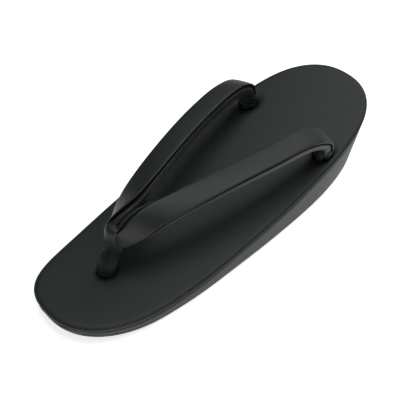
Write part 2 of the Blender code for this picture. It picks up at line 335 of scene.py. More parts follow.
@dataclass(frozen=True)
class SmoothLeather(Finish):
    """Smooth synthetic leather: a fine pebble, faint creases, soft satin patches, lighter edges that are
    partly worn and partly painted highlight, and painted shade in the strap's groove.
    """

    satin: float = 0.08
    crease_per_metre: float = 150.0
    specular: float = 0.45
    # How much the lighter edges show: partly real wear, partly a painted highlight.
    wear_and_sheen_amount: float = 0.6
    polish: float = 0.06
    # Painted shade in the strap's groove: its near-black colour and added roughness.
    groove_tone: Colour = (0.0004, 0.0006, 0.0006)
    groove_roughness: float = 0.35

    def material(self) -> bpy.types.Material:
        """Makes the leather.

        Returns:
            The material.
        """
        made, maker, shader, place = self._start()
        patches = self._patches(maker, place)
        pebble = maker.node(
            "ShaderNodeTexVoronoi",
            {"feature": "SMOOTH_F1"},
            {"Vector": place, "Scale": self.grain.per_metre, "Smoothness": 0.6, "Randomness": 1.0},
        )
        pores = maker.node(
            "ShaderNodeTexNoise", None, {"Vector": place, "Scale": self.grain.per_metre * 2.3, "Detail": 2.0}
        )
        creases = maker.node(
            "ShaderNodeTexNoise",
            None,
            {"Vector": place, "Scale": self.crease_per_metre, "Detail": 4.0, "Distortion": 0.8},
        )
        rubbed = maker.mark("rubbed")
        groove = maker.mark("groove")
        # The edges get the light tone: partly real wear, partly a painted highlight where an edge would catch
        # the light.
        wear_and_sheen_amount = rubbed * (0.55 + 0.45 * patches)
        tone = self._toned(maker, patches * self.mottling + wear_and_sheen_amount * self.wear_and_sheen_amount)
        # Painted shade: inside the groove between cover and lining the colour goes near black and rougher.
        tone = maker.mix_colours(groove, tone, (*self.groove_tone, 1.0))
        roughness = self.roughness + self.satin * (maker.signal(pores) - 0.5)
        roughness = roughness - self.polish * wear_and_sheen_amount + self.groove_roughness * groove
        height = 0.55 * maker.signal(pebble) + 0.25 * maker.signal(pores) + 1.3 * maker.signal(creases)
        self._join(maker, shader, tone, roughness, height)
        shader.inputs["Specular IOR Level"].default_value = self.specular
        return made


@dataclass(frozen=True)
class Velvet(Finish):
    """Short-piled velvet: dull, nearly black, with a painted highlight that lightens its fold crowns and the
    upper stem.
    """

    specular: float = 0.25
    sheen: float = 0.05
    sheen_roughness: float = 0.4

    def material(self) -> bpy.types.Material:
        """Makes the velvet.

        Returns:
            The material.
        """
        made, maker, shader, place = self._start()
        patches = self._patches(maker, place)
        pile = maker.signal(
            maker.node(
                "ShaderNodeTexNoise",
                None,
                {"Vector": place, "Scale": self.grain.per_metre, "Detail": 3.0, "Roughness": 0.7},
            )
        )
        # The fold mark lightens the colour: a painted highlight on fold crowns and high on the stem; patches
        # and pile are the velvet's own.
        tone = self._toned(maker, patches * self.mottling + maker.mark("fold") * 0.5 + (pile - 0.5) * 0.5)
        self._join(maker, shader, tone, self.roughness + 0.06 * (pile - 0.5), pile)
        shader.inputs["Specular IOR Level"].default_value = self.specular
        shader.inputs["Sheen Weight"].default_value = self.sheen
        shader.inputs["Sheen Roughness"].default_value = self.sheen_roughness
        return made


@dataclass(frozen=True)
class SoleRubber(Finish):
    """Thin dark sheet rubber with a dull skin, scuffed here and there."""

    def material(self) -> bpy.types.Material:
        """Makes the rubber.

        Returns:
            The material.
        """
        made, maker, shader, place = self._start()
        patches = self._patches(maker, place)
        values = {"Vector": place, "Scale": self.grain.per_metre, "Detail": 4.0}
        skin = maker.signal(maker.node("ShaderNodeTexNoise", None, values))
        scuffs = maker.signal(
            maker.node(
                "ShaderNodeTexNoise",
                None,
                {"Vector": place, "Scale": self.patch_per_metre * 9, "Detail": 5.0, "Distortion": 1.5},
            )
        )
        tone = self._toned(maker, patches * self.mottling + (scuffs - 0.5) * 0.8)
        self._join(maker, shader, tone, self.roughness + 0.12 * (skin - 0.5), skin)
        return made


@dataclass(frozen=True)
class StudioPaper:
    """Pale paper of the studio, lit a little from below or behind."""

    name: str
    tone: Colour = (0.93, 0.93, 0.93)
    glow: float = 0.72
    roughness: float = 0.9

    def material(self) -> bpy.types.Material:
        """Makes the paper.

        Returns:
            The material.
        """
        made = bpy.data.materials.new(self.name)
        made.use_nodes = True
        shader = made.node_tree.nodes["Principled BSDF"]
        shader.inputs["Base Color"].default_value = (*self.tone, 1.0)
        shader.inputs["Roughness"].default_value = self.roughness
        shader.inputs["Specular IOR Level"].default_value = 0.1
        shader.inputs["Emission Color"].default_value = (1.0, 1.0, 1.0, 1.0)
        shader.inputs["Emission Strength"].default_value = self.glow
        return made


# Shared shapes


OUTLINE: Rows = (
    # along, full
    (0.00, 1.205),
    (0.10, 1.090),
    (0.20, 1.024),
    (0.30, 0.994),
    (0.40, 0.977),
    (0.50, 0.988),
    (0.60, 1.018),
    (0.70, 1.070),
    (0.80, 1.140),
    (0.90, 1.231),
    (1.00, 1.320),
)

PROFILE: Rows = (
    # along, rise
    (0.00, 0.000),
    (0.20, 0.000),
    (0.30, 0.055),
    (0.40, 0.155),
    (0.50, 0.290),
    (0.60, 0.445),
    (0.70, 0.600),
    (0.80, 0.755),
    (0.90, 0.890),
    (1.00, 1.000),
)

ARM: Rows = (
    # along, out, lift, tilt, wide, thick
    (0.1770, 0.000, 0.690, 88, 0.88, 0.50),
    (0.1822, 0.095, 0.700, 86, 0.89, 0.54),
    (0.1970, 0.138, 0.755, 71, 0.93, 0.68),
    (0.2240, 0.170, 0.836, 48, 0.97, 0.86),
    (0.2600, 0.214, 0.888, 29, 1.00, 0.97),
    (0.3000, 0.281, 0.915, 19, 1.00, 1.00),
    (0.3500, 0.362, 0.936, 12, 1.00, 1.00),
    (0.4000, 0.437, 0.942, 8, 1.00, 1.00),
    (0.4500, 0.506, 0.932, 6, 1.00, 1.00),
    (0.5000, 0.572, 0.900, 5, 1.00, 1.00),
    (0.5450, 0.623, 0.860, 5, 1.00, 1.00),
    (0.5900, 0.666, 0.811, 6, 0.99, 1.00),
    (0.6300, 0.700, 0.744, 8, 0.98, 0.98),
    (0.6640, 0.731, 0.649, 10, 0.96, 0.95),
    (0.6920, 0.752, 0.532, 12, 0.94, 0.90),
    (0.7110, 0.762, 0.425, 14, 0.92, 0.86),
    (0.7215, 0.765, 0.300, 15, 0.90, 0.82),
    (0.7290, 0.765, 0.160, 15, 0.88, 0.78),
)


def both_arms() -> Rows:
    """Returns the arm's table run from the inner rear end through the nose to the outer, numbered."""
    inner = [(row[0], -row[1], *row[2:]) for row in reversed(ARM[1:])]
    return tuple((float(i - len(inner)), *row) for i, row in enumerate([*inner, *ARM]))


@dataclass(frozen=True)
class StrapHole:
    """One of the three holes that the straps go down into, with the leather pulled in round it."""

    x: float
    y: float
    width: float
    length: float
    pull: float
    spread: float
    pleats: int
    pleat_share: float = 0.10
    pleat_reach: float = 1.25
    pleat_spread: float = 0.30

    def reach(self, x: float, y: float) -> float:
        """Returns how far a point is from the middle, 1 at the rim."""
        return hypot((x - self.x) / (self.width / 2), (y - self.y) / (self.length / 2))

    def dip(self, x: float, y: float) -> float:
        """Measures how deep the leather is pulled in at a point.

        Args:
            x: Place across the sole.
            y: Place along the sole.

        Returns:
            The depth below the smooth top.
        """
        reach = self.reach(x, y)
        if reach > 1 + 3 * self.spread:
            return 0.0
        turn = atan2(y - self.y, x - self.x)
        wave = cos(self.pleats * turn) * bell(reach - self.pleat_reach, self.pleat_spread)
        pleat = self.pleat_share * self.pull * wave
        return self.pull * bell(max(0.0, reach - 1.0), self.spread) + pleat


@dataclass(frozen=True)
class SoleShape:
    """Outline, side profile and strap holes that all layers of the sole share."""

    length: float = 0.240
    half_width: float = 0.0404
    front_height: float = 0.0125
    heel_height: float = 0.0445
    toe_rise: float = 0.0018
    toe_rise_reach: float = 0.20
    toe_spring: float = 0.0060
    toe_spring_reach: float = 0.28
    toe_lean: float = 0.0058
    toe_lean_reach: float = 0.18
    toe_roundness: float = 0.41
    heel_roundness: float = 0.44
    outsole_thickness: float = 0.0022
    board_thickness: float = 0.0029
    clearance: float = 0.0003
    # Strap holes: places across in metres and along as shares of the length, sizes, and the pull round them
    front_hole_x: float = -0.0034
    front_hole_share: float = 0.155
    front_hole_width: float = 0.0102
    front_hole_floor: float = 0.0012
    rear_hole_x: float = 0.0300
    rear_hole_share: float = 0.736
    rear_hole_width: float = 0.0118
    rear_hole_length: float = 0.0150
    hole_depth: float = 0.0150
    hole_pull: float = 0.0008

    def share(self, y: float) -> float:
        """Returns the place along the sole as a share of its length."""
        return min(max(y / self.length + 0.5, 0.0), 1.0)

    def along(self, share: float) -> float:
        """Returns y at a share of the length."""
        return (share - 0.5) * self.length

    def top(self, y: float) -> float:
        """Returns the height of the board's edge line above the floor."""
        share = self.share(y)
        rise = self.front_height + (self.heel_height - self.front_height) * smooth(PROFILE, 1, share)
        return rise + self.toe_rise * fade(share, self.toe_rise_reach)

    def floor(self, y: float) -> float:
        """Returns the height of the underside, which springs up at the toe."""
        return self.toe_spring * fade(self.share(y), self.toe_spring_reach)

    def wedge_top(self, y: float) -> float:
        """Returns the height of the wedge's top."""
        return self.top(y) - self.board_thickness - self.clearance

    def wedge_bottom(self, y: float) -> float:
        """Returns the height of the wedge's underside."""
        return self.floor(y) + self.outsole_thickness + self.clearance

    def edge_point(self, turn: float) -> Vector:
        """Finds a point of the outline.

        Args:
            turn: 0 at the toe tip and pi at the heel, with the outer side between them.

        Returns:
            The point on the floor plane.
        """
        share = (1 - cos(turn)) / 2
        roundness = self.toe_roundness if share < 0.5 else self.heel_roundness
        ends = max(4 * share * (1 - share), 0.0) ** roundness
        half = self.half_width * smooth(OUTLINE, 1, share) * ends
        side = 1 if sin(turn) >= 0 else -1
        lean = self.toe_lean * fade(share, self.toe_lean_reach)
        return Vector((side * half - lean, self.along(share), 0.0))

    def loop(self, points: int) -> list[tuple[Vector, Vector]]:
        """Walks round the outline.

        Args:
            points: How many points the loop has.

        Returns:
            Each point with the way inwards from it.
        """
        step = 2 * pi / points
        made = []
        for i in range(points):
            way = self.edge_point((i + 0.5) * step) - self.edge_point((i - 0.5) * step)
            way.normalize()
            made.append((self.edge_point(i * step), Vector((-way.y, way.x, 0.0))))
        return made

    def front_hole(self) -> StrapHole:
        """Returns the toe thong's hole, which is round."""
        y = self.along(self.front_hole_share)
        size = self.front_hole_width
        return StrapHole(self.front_hole_x, y, size, size, self.hole_pull, spread=0.24, pleats=9)

    def rear_hole(self, side: Foot) -> StrapHole:
        """Returns the strap's hole on one side."""
        x, y = side.value * self.rear_hole_x, self.along(self.rear_hole_share)
        wide, long = self.rear_hole_width, self.rear_hole_length
        return StrapHole(x, y, wide, long, self.hole_pull, spread=0.26, pleats=11)

    def holes(self) -> list[StrapHole]:
        """Returns all three holes."""
        return [self.front_hole(), self.rear_hole(Foot.OUTER), self.rear_hole(Foot.INNER)]


@dataclass(frozen=True)
class BandPlace:
    """The strap at one place: its middle, its two directions, and its width and thickness as shares."""

    centre: Vector
    across: Vector
    face: Vector
    wide: float
    thick: float


@dataclass(frozen=True)
class StrapPath:
    """Course of the strap from the inner rear hole round the nose to the outer one."""

    sole: SoleShape
    width: float = 0.0122
    cover: float = 0.0030
    lining: float = 0.0060
    arch: float = 0.0391
    nose_shift: float = -0.0024
    last: int = len(ARM) - 1
    rows: Rows = field(default_factory=both_arms)

    def place(self, at: float) -> Vector:
        """Finds the strap's middle.

        Args:
            at: Row number, 0 at the nose and positive on the outer arm.

        Returns:
            The point.
        """
        y = self.sole.along(smooth(self.rows, 1, at))
        shift = self.nose_shift * max(0.0, 1 - abs(at) / len(ARM)) ** 2
        height = self.sole.top(y) + smooth(self.rows, 3, at) * self.arch
        return Vector((smooth(self.rows, 2, at) * self.sole.half_width + shift, y, height))

    def band(self, at: float) -> BandPlace:
        """Finds the strap's frame.

        Args:
            at: Row number, 0 at the nose and positive on the outer arm.

        Returns:
            The strap at that place.
        """
        way = self.place(min(at + 0.05, self.last)) - self.place(max(at - 0.05, -self.last))
        way.normalize()
        outward = way.cross(UP).normalized()
        upward = outward.cross(way)
        tilt = radians(smooth(self.rows, 4, at))
        return BandPlace(
            self.place(at),
            outward * cos(tilt) - upward * sin(tilt),
            upward * cos(tilt) + outward * sin(tilt),
            smooth(self.rows, 5, at),
            smooth(self.rows, 6, at),
        )

    def point(self, at: float, aside: float, raised: float) -> Vector:
        """Finds a point on or in the strap.

        Args:
            at: Row number along the strap.
            aside: Place across it, as a share of half its width.
            raised: Place above the seam as a share of the cover, or below it of the lining.

        Returns:
            The point.
        """
        band = self.band(at)
        depth = (self.cover if raised > 0 else self.lining) * band.thick
        return band.centre + band.across * aside * self.width / 2 * band.wide + band.face * raised * depth

    def stops(self, per_row: int) -> list[float]:
        """Returns evenly spread row numbers from end to end."""
        count = 2 * self.last * per_row
        return [-self.last + i / per_row for i in range(count + 1)]


# Mesh helpers


class Form:
    """A mesh in the making, and the numbers that its points carry for the materials."""

    def __init__(self, name: str, marks: Sequence[str] = ()) -> None:
        """Starts an empty form.

        Args:
            name: Name of the piece.
            marks: Names of the numbers that points carry.
        """
        self.name = name
        self.bm = bmesh.new()
        self.marks = {mark: self.bm.verts.layers.float.new(mark) for mark in marks}

    def points(self, places: Sequence[Vector], **marks: Sequence[float]) -> list[bmesh.types.BMVert]:
        """Adds points.

        Args:
            places: Where the points are.
            marks: A number for each point, by the mark's name.

        Returns:
            The points.
        """
        made = [self.bm.verts.new(place) for place in places]
        for mark, numbers in marks.items():
            for vert, number in zip(made, numbers):
                vert[self.marks[mark]] = number
        return made

    def bridge(self, first: Sequence[bmesh.types.BMVert], second: Sequence[bmesh.types.BMVert]) -> None:
        """Joins two closed rings by faces.

        Args:
            first: Points of one ring.
            second: Points of the next, as many.
        """
        for i in range(len(first)):
            j = (i + 1) % len(first)
            self.bm.faces.new((first[i], first[j], second[j], second[i]))

    def skin(self, rings: Sequence[Sequence[bmesh.types.BMVert]]) -> None:
        """Joins rings in a row, and leaves both ends open."""
        for first, second in zip(rings, rings[1:]):
            self.bridge(first, second)

    def sweep(self, rings: Sequence[Sequence[bmesh.types.BMVert]], closed: bool = False) -> None:
        """Joins rings in a row, and closes both ends or joins the last to the first.

        Args:
            rings: The rings of points.
            closed: Whether the last ring is joined to the first.
        """
        self.skin(rings)
        if closed:
            self.bridge(rings[-1], rings[0])
            return
        for ring in (rings[0], rings[-1]):
            self.cap(ring)

    def cap(self, ring: Sequence[bmesh.types.BMVert]) -> None:
        """Closes a ring by triangles to its middle."""
        middle = self.bm.verts.new(sum((vert.co for vert in ring), Vector()) / len(ring))
        for layer in self.marks.values():
            middle[layer] = sum(vert[layer] for vert in ring) / len(ring)
        for i in range(len(ring)):
            self.bm.faces.new((ring[i], ring[(i + 1) % len(ring)], middle))

    def fill_across(
        self, loop: Sequence[bmesh.types.BMVert], columns: int, height: Callable[[float, float, float], float]
    ) -> None:
        """Closes a loop of the outline with rows of faces across it.

        Args:
            loop: Points of the loop, from the toe tip by the outer side.
            columns: Faces in each row.
            height: Height over x, y and the share of the way to the side.
        """
        half = len(loop) // 2
        rows = [[loop[0]]]
        for i in range(1, half):
            places = []
            for k in range(1, columns):
                at = loop[i].co.lerp(loop[-i].co, k / columns)
                at.z = height(at.x, at.y, abs(2 * k / columns - 1))
                places.append(at)
            rows.append([loop[i], *self.points(places), loop[-i]])
        rows.append([loop[half]])
        for row, following in zip(rows, rows[1:]):
            for k in range(columns):
                corners = (
                    row[min(k, len(row) - 1)],
                    row[min(k + 1, len(row) - 1)],
                    following[min(k + 1, len(following) - 1)],
                    following[min(k, len(following) - 1)],
                )
                self.bm.faces.new(dict.fromkeys(corners))

    def finish(self, material: bpy.types.Material, sharp: float = 50.0) -> bpy.types.Object:
        """Turns the form into an object.

        Args:
            material: Its material.
            sharp: Angle in degrees from which an edge stays sharp.

        Returns:
            The object, at the origin.
        """
        bmesh.ops.recalc_face_normals(self.bm, faces=self.bm.faces)
        mesh = bpy.data.meshes.new(self.name)
        self.bm.to_mesh(mesh)
        self.bm.free()
        mesh.materials.append(material)
        made = bpy.data.objects.new(self.name, mesh)
        bpy.context.scene.collection.objects.link(made)
        mesh.shade_smooth()
        mesh.set_sharp_from_angle(angle=radians(sharp))
        return made


def settle(piece: bpy.types.Object) -> bpy.types.Object:
    """Turns a piece and its modifiers into one plain mesh.

    Args:
        piece: Object with modifiers.

    Returns:
        The same object, without modifiers.
    """
    depsgraph = bpy.context.evaluated_depsgraph_get()
    mesh = bpy.data.meshes.new_from_object(piece.evaluated_get(depsgraph), depsgraph=depsgraph)
    mesh.name = piece.name
    piece.modifiers.clear()
    piece.data = mesh
    return piece


def cut(piece: bpy.types.Object, cutters: Sequence[bpy.types.Object]) -> bpy.types.Object:
    """Cuts other shapes out of a piece, and takes them away.

    Args:
        piece: The piece.
        cutters: Closed shapes to cut out.

    Returns:
        The piece, with its openings.
    """
    for cutter in cutters:
        modifier = piece.modifiers.new(cutter.name, "BOOLEAN")
        modifier.operation = "DIFFERENCE"
        modifier.solver = "EXACT"
        modifier.object = cutter
    settle(piece)
    for cutter in cutters:
        bpy.data.objects.remove(cutter)
    return piece


def dress(piece: bpy.types.Object, slot: Slot, *nodes: str) -> bpy.types.Object:
    """Hangs a piece under the root body and hides the frame's solids that it stands for.

    Args:
        piece: The finished piece.
        slot: Not used.
        nodes: Solids of the frame that it stands for.

    Returns:
        The piece.
    """
    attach(piece, "root")
    if nodes:
        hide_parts(*nodes)
    LOG.info("%s: %d faces", piece.name, len(piece.data.polygons))
    return piece


# Repeated parts


class LineTree:
    """Geometry Nodes tree that repeats something along guide lines; each kind says what."""

    SIZES: tuple[str, ...] = ()

    def __init__(self, name: str, material: bpy.types.Material) -> None:
        """Builds the tree.

        Args:
            name: Name of the tree.
            material: Material of what it makes.
        """
        self.tree = bpy.data.node_groups.new(name, "GeometryNodeTree")
        sockets = self.tree.interface
        sockets.new_socket("Geometry", in_out="INPUT", socket_type="NodeSocketGeometry")
        self.inputs = {
            label: sockets.new_socket(label, in_out="INPUT", socket_type="NodeSocketFloat").identifier
            for label in self.SIZES
        }
        sockets.new_socket("Geometry", in_out="OUTPUT", socket_type="NodeSocketGeometry")
        maker = NodeMaker(self.tree)
        given = maker.node("NodeGroupInput")
        line = maker.node("GeometryNodeMeshToCurve", None, {"Mesh": given.outputs["Geometry"]})
        repeated = self._repeat(maker, given, line.outputs[0])
        real = maker.node("GeometryNodeRealizeInstances", None, {"Geometry": repeated})
        values = {"Geometry": real.outputs[0], "Material": material}
        painted = maker.node("GeometryNodeSetMaterial", None, values)
        maker.node("NodeGroupOutput", None, {"Geometry": painted.outputs[0]})

    def _repeat(
        self, maker: NodeMaker, given: bpy.types.Node, line: bpy.types.NodeSocket
    ) -> bpy.types.NodeSocket:
        """Adds the nodes that make something along the lines.

        Args:
            maker: The tree's node maker.
            given: Node with the tree's inputs.
            line: The guide lines as curves.

        Returns:
            What was made.
        """
        raise NotImplementedError

    def lay(
        self, name: str, lines: Sequence[Sequence[Vector]], sizes: Mapping[str, float]
    ) -> bpy.types.Object:
        """Makes a piece along guide lines.

        Args:
            name: Name of the piece.
            lines: Points of each line.
            sizes: The tree's sizes, by name.

        Returns:
            The piece, as one plain mesh.
        """
        places = []
        edges = []
        for line in lines:
            start = len(places)
            places += line
            edges += [(start + i, start + i + 1) for i in range(len(line) - 1)]
        guides = bpy.data.meshes.new(name)
        guides.from_pydata(places, edges, [])
        piece = bpy.data.objects.new(name, guides)
        bpy.context.scene.collection.objects.link(piece)
        modifier = piece.modifiers.new(self.tree.name, "NODES")
        modifier.node_group = self.tree
        for label, value in sizes.items():
            modifier[self.inputs[label]] = value
        return settle(piece)


class RodAlongLines(LineTree):
    """Lays a flat rod along every line."""

    SIZES = ("Width", "Height")

    def _repeat(
        self, maker: NodeMaker, given: bpy.types.Node, line: bpy.types.NodeSocket
    ) -> bpy.types.NodeSocket:
        """Adds the rod's nodes.

        Args:
            maker: The tree's node maker.
            given: Node with Width and Height.
            line: The guide lines as curves.

        Returns:
            The rods.
        """
        profile = maker.node(
            "GeometryNodeCurvePrimitiveQuadrilateral",
            None,
            {"Width": given.outputs["Width"], "Height": given.outputs["Height"]},
        )
        values = {"Curve": line, "Profile Curve": profile.outputs[0], "Fill Caps": True}
        return maker.node("GeometryNodeCurveToMesh", None, values).outputs[0]


class StitchesAlongLines(LineTree):
    """Sews a row of stitches along every line."""

    SIZES = ("Pitch", "Stitch", "Thread")

    def _repeat(
        self, maker: NodeMaker, given: bpy.types.Node, line: bpy.types.NodeSocket
    ) -> bpy.types.NodeSocket:
        """Adds the stitches' nodes.

        Args:
            maker: The tree's node maker.
            given: Node with Pitch, Stitch and Thread.
            line: The guide lines as curves.

        Returns:
            The stitches, as instances.
        """
        spaced = maker.node(
            "GeometryNodeResampleCurve", {"mode": "LENGTH"}, {"Curve": line, "Length": given.outputs["Pitch"]}
        )
        way = maker.node("GeometryNodeInputTangent")
        turned = maker.node("FunctionNodeAlignRotationToVector", {"axis": "Z"}, {"Vector": way.outputs[0]})
        bead = maker.node("GeometryNodeMeshUVSphere", None, {"Segments": 6, "Rings": 4, "Radius": 0.5})
        size = maker.node(
            "ShaderNodeCombineXYZ",
            None,
            {"X": given.outputs["Thread"], "Y": given.outputs["Thread"], "Z": given.outputs["Stitch"]},
        )
        values = {
            "Points": spaced.outputs[0],
            "Instance": bead.outputs[0],
            "Rotation": turned.outputs[0],
            "Scale": size.outputs[0],
        }
        return maker.node("GeometryNodeInstanceOnPoints", None, values).outputs[0]


# Sole


@dataclass
class Sole:
    """Rubber sheet, wrapped wedge and padded board, one on the other."""

    shape: SoleShape
    leather: bpy.types.Material
    rubber: bpy.types.Material
    # Fineness of the meshes, and how far a hole's cutter reaches past the leather
    points: int = 400
    columns: int = 60
    base_columns: int = 4
    flat_columns: int = 6
    hole_sides: int = 56
    cut_past: float = 0.01
    # Board: its rolled edge, its crown, and where its edge is lighter, partly worn and partly painted
    # highlight, in steps of the edge's table
    board_edge: float = 0.0030
    board_edge_steps: int = 16
    board_crown: float = 0.0009
    crown_power: float = 2.2
    dip_at_edge: float = 0.6
    edge_wear_sheen_step: float = 3.6
    edge_wear_sheen_steps: float = 1.3
    board_unevenness: float = 0.00010
    bumps_per_metre: float = 40.0
    # Wedge: its rounded edges, where they are lighter, partly worn and partly painted highlight, and the
    # slack, gathers and hem of its wrap
    wedge_edge: float = 0.0011
    wall_rows: int = 17
    foot_wear_sheen: float = 0.5
    foot_wear_sheen_reach: float = 0.0012
    top_wear_sheen: float = 0.35
    top_wear_sheen_reach: float = 0.0010
    wrap_slack: float = 0.00022
    slack_per_metre: float = 34.0
    wrap_gather: float = 0.00075
    gather_reach: float = 0.16
    gather_pitch: float = 0.0062
    hem_stray: float = 0.0007
    hem_per_metre: float = 140.0
    # Rubber sheet: how far it is set in, its rim, its recessed tread and the ribs across it
    rubber_set_in: float = 0.0007
    rubber_rim: float = 0.0030
    rubber_round: float = 0.0004
    tread_depth: float = 0.0005
    tread_slope: float = 0.0005
    rib_pitch: float = 0.0042
    rib_width: float = 0.0016
    rib_gap: float = 0.0002
    rib_parts: int = 6
    ribless_tip: float = 0.008
    rib_squeeze: float = 0.0035
    squeeze_reach: float = 0.012

    BOARD_EDGE: Rows = (
        # step, inset as a share of the edge, height as a share of the thickness
        (0, 0.42, 0.00),
        (1, 0.10, 0.10),
        (2, 0.00, 0.32),
        (3, 0.06, 0.56),
        (4, 0.28, 0.80),
        (5, 0.62, 0.94),
        (6, 1.00, 1.00),
    )

    def build(self) -> list[bpy.types.Object]:
        """Builds every layer.

        Returns:
            The pieces, from the floor up.
        """
        return [self.rubber_sheet(), self.tread_ribs(), self.wedge_wrap(), self.top_board()]

    def _ring(
        self, form: Form, inset: float, height: Callable[[float], float], **marks: float
    ) -> list[bmesh.types.BMVert]:
        """Adds one ring of the outline.

        Args:
            form: The form that it goes into.
            inset: How far it is moved inwards.
            height: Height over y.
            marks: One number for all its points, by the mark's name.

        Returns:
            The ring's points.
        """
        places = []
        for edge, inwards in self.shape.loop(self.points):
            at = edge + inwards * inset
            at.z = height(at.y)
            places.append(at)
        return form.points(places, **{mark: [number] * len(places) for mark, number in marks.items()})

    def _cutters(self, depths: Sequence[float]) -> list[bpy.types.Object]:
        """Makes the shapes that cut the strap holes.

        Args:
            depths: Depth of each hole below the top, in the order of the holes.

        Returns:
            The cutters.
        """
        made = []
        for i, (hole, depth) in enumerate(zip(self.shape.holes(), depths)):
            form = Form(f"hole_{i}")
            top = self.shape.top(hole.y)
            rings = []
            for z in (top - depth, top + self.cut_past):
                ring = []
                for j in range(self.hole_sides):
                    turn = 2 * pi * j / self.hole_sides
                    x = hole.x + hole.width / 2 * cos(turn)
                    ring.append(Vector((x, hole.y + hole.length / 2 * sin(turn), z)))
                rings.append(form.points(ring))
            form.sweep(rings)
            made.append(form.finish(self.leather))
        return made

    def top_board(self) -> bpy.types.Object:
        """Builds the padded board under smooth leather, with its soft rolled edge.

        Returns:
            The piece.
        """
        form = Form("top_board", ("rubbed",))
        rings = []
        for i in range(self.board_edge_steps + 1):
            step = self.BOARD_EDGE[-1][0] * i / self.board_edge_steps
            inset = self.board_edge * smooth(self.BOARD_EDGE, 1, step)
            share = smooth(self.BOARD_EDGE, 2, step)
            lowered = self.shape.board_thickness * (1 - share)
            # Lighter band on the rolled edge's shoulder: partly wear, partly a painted highlight.
            rubbed = bell(step - self.edge_wear_sheen_step, self.edge_wear_sheen_steps)
            rings.append(
                self._ring(form, inset, lambda y, low=lowered: self.shape.top(y) - low, rubbed=rubbed)
            )
        form.skin(rings)
        holes = self.shape.holes()

        def height(x: float, y: float, side: float) -> float:
            """Height of the board's top, with its crown, its dips at the holes and faint unevenness."""
            share = self.shape.share(y)
            ends = min(1.0, 4 * share, 4 * (1 - share))
            crown = self.board_crown * (1 - side**self.crown_power) * ends
            dips = sum(hole.dip(x, y) for hole in holes)
            bumps = uneven(x * self.bumps_per_metre, y * self.bumps_per_metre, layer=1.7)
            return self.shape.top(y) + crown - dips + self.board_unevenness * bumps * (1 - side**4)

        base = self.base_columns
        form.fill_across(rings[0], base, lambda x, y, side: self.shape.top(y) - self.shape.board_thickness)
        form.fill_across(rings[-1], self.columns, height)
        for vert in rings[-1]:
            vert.co.z -= sum(hole.dip(vert.co.x, vert.co.y) for hole in holes) * self.dip_at_edge
        board = cut(form.finish(self.leather), self._cutters([self.cut_past] * len(holes)))
        dress(board, Slot.LEATHER, "insole")
        return board

    def wedge_wrap(self) -> bpy.types.Object:
        """Builds the wedge under its wrap, with the folds that gather at the toe.

        Returns:
            The piece.
        """
        form = Form("wedge_wrap", ("rubbed",))
        shape = self.shape
        levels = [i / self.wall_rows for i in range(self.wall_rows + 1)]
        loop = shape.loop(self.points)
        walked = [0.0]
        for (here, _), (following, _) in zip(loop, loop[1:]):
            walked.append(walked[-1] + (following - here).length)
        rings = []
        for level in levels:
            places = []
            marks = []
            for (edge, inwards), far in zip(loop, walked):
                low, high = shape.wedge_bottom(edge.y), shape.wedge_top(edge.y)
                tall = high - low
                inset = self._wedge_inset(level * tall, tall) - self._wrap(edge, far, level)
                at = edge + inwards * inset
                at.z = low + level * tall + self._hem(edge, far) * (1 - level) ** 2
                places.append(at)
                # The wall's foot and top edges get the light tone: partly wear, partly a painted highlight.
                foot_wear_sheen = self.foot_wear_sheen * bell(level * tall, self.foot_wear_sheen_reach)
                marks.append(foot_wear_sheen + self.top_wear_sheen * bell((1 - level) * tall, self.top_wear_sheen_reach))
            rings.append(form.points(places, rubbed=marks))
        form.skin(rings)
        form.fill_across(rings[0], self.flat_columns, lambda x, y, side: shape.wedge_bottom(y))
        form.fill_across(rings[-1], self.flat_columns, lambda x, y, side: shape.wedge_top(y))
        front = shape.front_hole()
        depth = shape.top(front.y) - shape.wedge_bottom(front.y) - shape.front_hole_floor
        wedge = cut(form.finish(self.leather), self._cutters([depth, shape.hole_depth, shape.hole_depth]))
        return dress(wedge, Slot.LEATHER, "platform")

    def _wedge_inset(self, up: float, tall: float) -> float:
        """Rounds the wedge's wall over at its two edges.

        Args:
            up: Height above the wall's foot.
            tall: Height of the wall.

        Returns:
            How far the wall is inside the outline there.
        """
        radius = self.wedge_edge
        gap = min(up, tall - up)
        if gap >= radius:
            return 0.0
        return radius - sqrt(max(radius**2 - (radius - gap) ** 2, 0.0))

    def _wrap(self, edge: Vector, far: float, level: float) -> float:
        """Measures how far the wrap stands out from its smooth wall.

        Args:
            edge: Point of the outline.
            far: Distance walked round the outline.
            level: Share of the wall's height.

        Returns:
            The distance outwards, mostly below 0.
        """
        toe = fade(self.shape.share(edge.y), self.gather_reach)
        slack = self.wrap_slack * (uneven(far * self.slack_per_metre, level * 1.1, layer=5.2) - 0.45)
        fold = uneven(far / self.gather_pitch, level * 0.9, layer=2.4) - 0.4
        return slack + self.wrap_gather * toe * fold * (1 - level) ** 0.7

    def _hem(self, edge: Vector, far: float) -> float:
        """Returns how far the wrap's lower line strays from its level, most at the toe."""
        toe = fade(self.shape.share(edge.y), self.gather_reach * 1.6)
        return self.hem_stray * toe * uneven(far * self.hem_per_metre, 0.3, layer=9.1)

